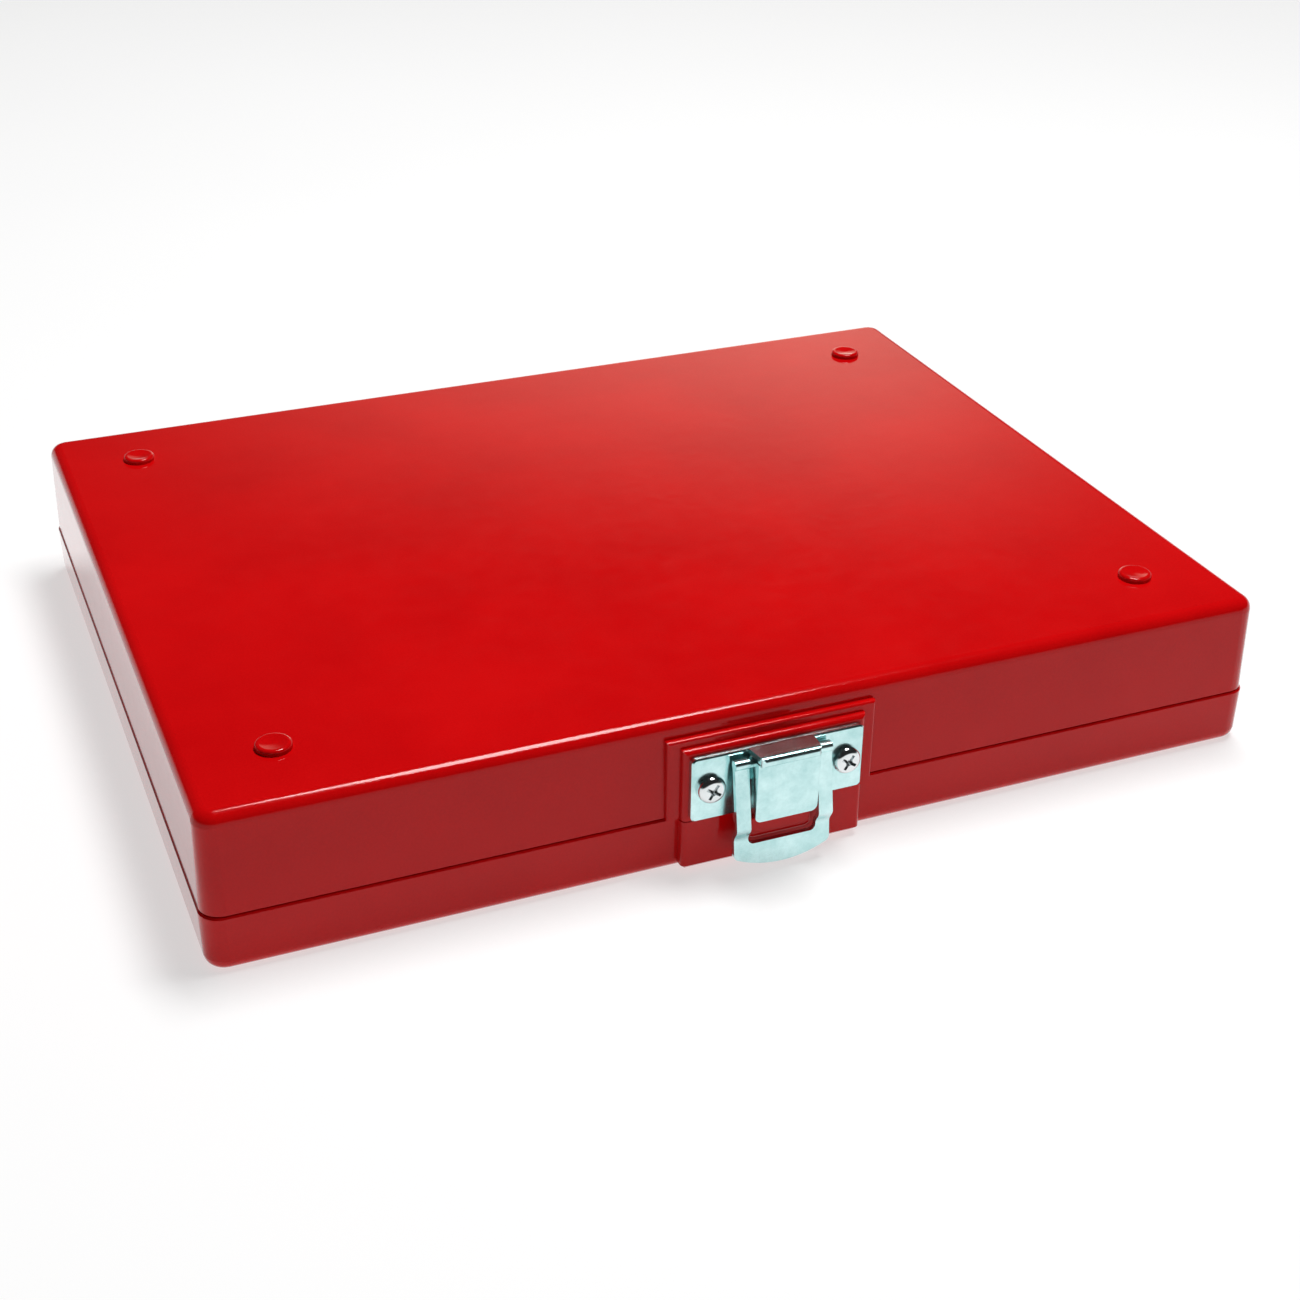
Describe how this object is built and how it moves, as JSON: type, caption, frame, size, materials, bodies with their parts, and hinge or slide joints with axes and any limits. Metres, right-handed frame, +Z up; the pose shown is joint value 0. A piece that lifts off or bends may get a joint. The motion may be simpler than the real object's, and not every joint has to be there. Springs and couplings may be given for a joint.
{
  "type": "socket wrench set in case",
  "caption": "Quarter-inch drive socket wrench set in a flat red moulded case with a hinged lid and a draw latch on the front; sockets, ratchet, bars and bits lie in a black tray.",
  "frame": {"origin": "centre of the case body footprint, on the plane it rests on", "axes": "+X along the case width, -Y towards the latch side, +Z up"},
  "size_m": [0.21, 0.1772, 0.0327],
  "materials": {
    "case_plastic": "glossy moulded plastic",
    "tray_plastic": "fine matt moulded plastic",
    "zinc_plated_steel": "bright zinc plate",
    "chrome_steel": "polished chrome plate",
    "bright_steel": "satin steel",
    "tool_steel": "dark phosphated tool steel",
    "grip_plastic": "satin moulded grip"
  },
  "bodies": {
    "base": {"base_shell": "case_plastic", "bit_adapter": "chrome_steel", "bits_hex": "tool_steel", "bits_phillips": "tool_steel", "bits_slotted": "tool_steel", "bits_star": "tool_steel", "drive_lock_balls": "chrome_steel", "extension_bar_100mm": "chrome_steel", "extension_bar_50mm": "chrome_steel", "hex_key_1": "tool_steel", "hex_key_2": "tool_steel", "hex_key_3": "tool_steel", "hinge_pins": "zinc_plated_steel", "ratchet_body": "chrome_steel", "ratchet_cover_plate": "bright_steel", "ratchet_cover_screws": "bright_steel", "ratchet_grip": "grip_plastic", "socket_10mm": "chrome_steel", "socket_11mm": "chrome_steel", "socket_12mm": "chrome_steel", "socket_13mm": "chrome_steel", "socket_14mm": "chrome_steel", "socket_4_5mm": "chrome_steel", "socket_4mm": "chrome_steel", "socket_5_5mm": "chrome_steel", "socket_5mm": "chrome_steel", "socket_6mm": "chrome_steel", "socket_7mm": "chrome_steel", "socket_8mm": "chrome_steel", "socket_9mm": "chrome_steel", "spinner_grip": "grip_plastic", "spinner_shaft": "chrome_steel", "t_bar_rod": "chrome_steel", "tray_bars_and_keys": "tray_plastic", "tray_bits": "tray_plastic", "tray_large_sockets": "tray_plastic", "tray_ratchet": "tray_plastic", "tray_small_sockets": "tray_plastic", "u_joint_socket_yoke": "chrome_steel"},
    "lid": {"lid_shell": "case_plastic", "latch_base_plate": "zinc_plated_steel", "latch_screws": "zinc_plated_steel", "latch_lever_pin": "zinc_plated_steel"},
    "latch_lever_body": {"latch_lever": "zinc_plated_steel"},
    "latch_loop_body": {"latch_loop": "zinc_plated_steel"},
    "ratchet_gear_body": {"ratchet_drive_gear": "chrome_steel", "ratchet_lock_ball": "chrome_steel"},
    "ratchet_button_body": {"ratchet_release_button": "chrome_steel"},
    "ratchet_selector_body": {"ratchet_selector": "bright_steel"},
    "ratchet_pawl_body": {"ratchet_pawl": "bright_steel"},
    "t_bar_slider_body": {"t_bar_slider": "chrome_steel", "t_bar_lock_ball": "chrome_steel"},
    "u_joint_cross_body": {"u_joint_cross": "chrome_steel"},
    "u_joint_drive_body": {"u_joint_drive_yoke": "chrome_steel", "u_joint_lock_ball": "chrome_steel"}
  },
  "joints": [
    {"name": "lid_hinge", "type": "hinge", "parent": "base", "child": "lid", "pos_m": [0, 0.0843, 0.0115], "axis": [-1, 0, 0], "range_deg": [0, 110]},
    {"name": "latch_lever_hinge", "type": "hinge", "parent": "lid", "child": "latch_lever_body", "pos_m": [-0.0009, -0.0868, 0.0144], "axis": [1, 0, 0], "range_deg": [0, 90]},
    {"name": "latch_loop_hinge", "type": "hinge", "parent": "latch_lever_body", "child": "latch_loop_body", "pos_m": [-0.0009, -0.0865, 0.0232], "axis": [1, 0, 0], "range_deg": [-180, 0]},
    {"name": "ratchet_drive_spin", "type": "hinge", "parent": "base", "child": "ratchet_gear_body", "pos_m": [0.078, -0.038, 0.0158], "axis": [0, 0, 1], "continuous": true},
    {"name": "ratchet_button_press", "type": "slide", "parent": "ratchet_gear_body", "child": "ratchet_button_body", "axis": [0, 0, -1], "range_m": [0, 0.0012], "stiffness_N_per_m": 400},
    {"name": "ratchet_selector_turn", "type": "hinge", "parent": "base", "child": "ratchet_selector_body", "pos_m": [0.0648, -0.038, 0.0158], "axis": [0, 0, 1], "range_deg": [0, 40]},
    {"name": "ratchet_pawl_rock", "type": "hinge", "parent": "base", "child": "ratchet_pawl_body", "pos_m": [0.0648, -0.038, 0.0158], "axis": [0, 0, 1], "range_deg": [0, 12]},
    {"name": "t_bar_slide", "type": "slide", "parent": "base", "child": "t_bar_slider_body", "axis": [1, 0, 0], "range_m": [-0.044, 0.044]},
    {"name": "u_joint_tilt", "type": "hinge", "parent": "base", "child": "u_joint_cross_body", "pos_m": [-0.0805, -0.038, 0.0106], "axis": [0, -1, 0], "range_deg": [0, 28]},
    {"name": "u_joint_swing", "type": "hinge", "parent": "u_joint_cross_body", "child": "u_joint_drive_body", "pos_m": [-0.0805, -0.038, 0.0106], "axis": [0, 0, 1], "range_deg": [-15, 15]}
  ],
  "couplings": [
    {"joint": "latch_loop_hinge", "follows": "latch_lever_hinge", "ratio": -2},
    {"joint": "ratchet_pawl_rock", "follows": "ratchet_selector_turn", "ratio": 0.3}
  ]
}
